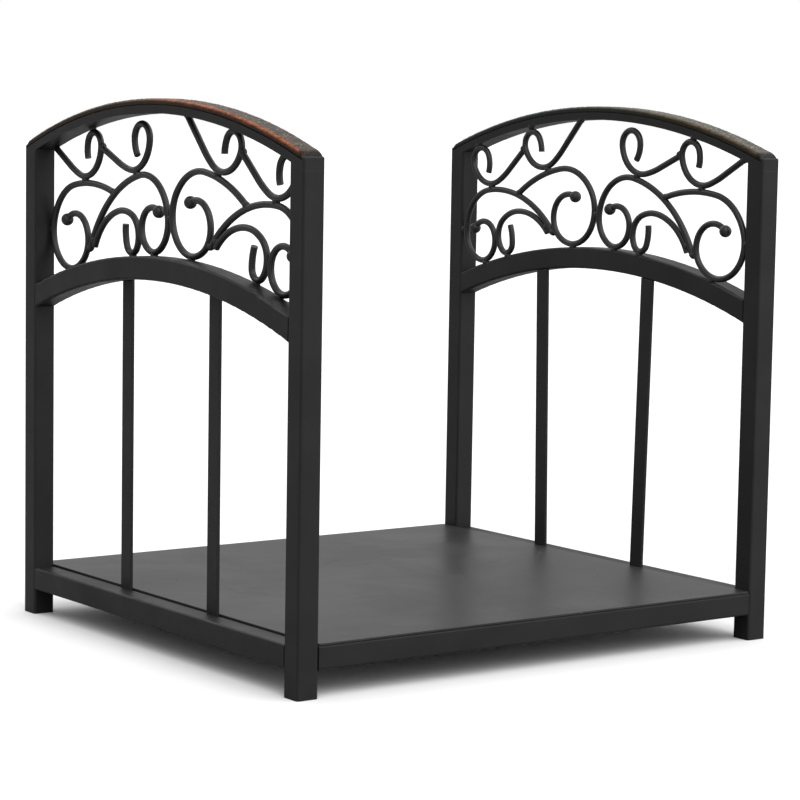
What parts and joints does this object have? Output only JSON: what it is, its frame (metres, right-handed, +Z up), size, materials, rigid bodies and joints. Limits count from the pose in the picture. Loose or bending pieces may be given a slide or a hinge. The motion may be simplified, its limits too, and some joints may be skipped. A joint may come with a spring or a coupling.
{
  "type": "firewood log rack",
  "caption": "Free-standing indoor firewood rack: two arched steel end frames with scrollwork and metal-capped tops, joined by a flat tray that holds stacked logs.",
  "frame": {"origin": "on the ground, under the middle of the rack", "axes": "+X from the left end frame to the right one, +Y from front to back, +Z up"},
  "size_m": [0.475, 0.43, 0.446],
  "materials": {
    "black_paint": "satin powder coat, near black",
    "panel_paint": "satin powder coat with fine rub marks",
    "cap_metal": "antiqued copper, embossed, dark in the hollows",
    "zinc_hardware": "zinc plated"
  },
  "bodies": {
    "root": {"left_post_front": "black_paint", "left_picket_front": "black_paint", "left_post_back": "black_paint", "left_picket_back": "black_paint", "left_bottom_rail": "black_paint", "left_lower_arch": "black_paint", "left_top_arch": "black_paint", "left_cap_strip": "cap_metal", "left_tendril_front": "black_paint", "left_big_loop_front": "black_paint", "left_small_loop_front": "black_paint", "left_tendril_hook_front": "black_paint", "left_loop_hook_front": "black_paint", "left_tendril_back": "black_paint", "left_big_loop_back": "black_paint", "left_small_loop_back": "black_paint", "left_tendril_hook_back": "black_paint", "left_loop_hook_back": "black_paint", "left_welds": "black_paint", "tray_left_rail": "black_paint", "right_post_front": "black_paint", "right_picket_front": "black_paint", "right_post_back": "black_paint", "right_picket_back": "black_paint", "right_bottom_rail": "black_paint", "right_lower_arch": "black_paint", "right_top_arch": "black_paint", "right_cap_strip": "cap_metal", "right_tendril_front": "black_paint", "right_big_loop_front": "black_paint", "right_small_loop_front": "black_paint", "right_tendril_hook_front": "black_paint", "right_loop_hook_front": "black_paint", "right_tendril_back": "black_paint", "right_big_loop_back": "black_paint", "right_small_loop_back": "black_paint", "right_tendril_hook_back": "black_paint", "right_loop_hook_back": "black_paint", "right_welds": "black_paint", "tray_right_rail": "black_paint", "tray_front_rail": "black_paint", "tray_back_rail": "black_paint", "tray_panel": "panel_paint", "tray_bolts": "zinc_hardware", "tray_inserts": "zinc_hardware"}
  },
  "joints": []
}
